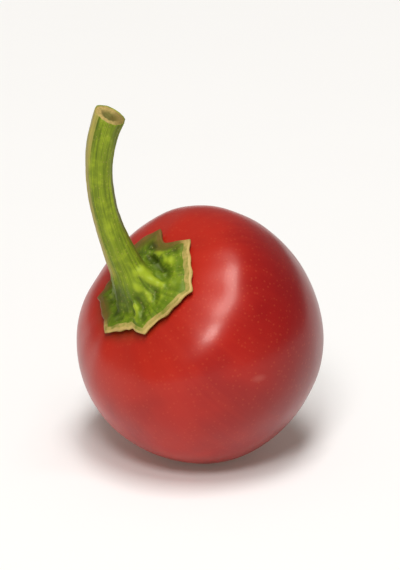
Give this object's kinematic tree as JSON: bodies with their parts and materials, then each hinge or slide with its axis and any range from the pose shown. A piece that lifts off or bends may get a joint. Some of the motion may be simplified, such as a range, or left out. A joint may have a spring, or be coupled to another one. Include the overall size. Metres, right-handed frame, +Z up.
{
  "type": "hot cherry pepper",
  "caption": "Round red hot cherry pepper with a toothed, ribbed green calyx and a curved cut stem, lying on a small flat spot.",
  "frame": {"origin": "middle of the small flat spot on the skin that the fruit rests on", "axes": "+Z up. The fruit's stem end leans 48 degrees from upright, towards a heading of -145 degrees from +X, and the stem rises from it"},
  "size_m": [0.0334, 0.0345, 0.0521],
  "materials": {
    "fruit_skin": "smooth waxy ripe red pepper skin",
    "stem_green": "fresh green stem with a pale calyx rim and a dried cut end"
  },
  "bodies": {
    "root": {"fruit": "fruit_skin", "stem_and_calyx": "stem_green"}
  },
  "joints": []
}
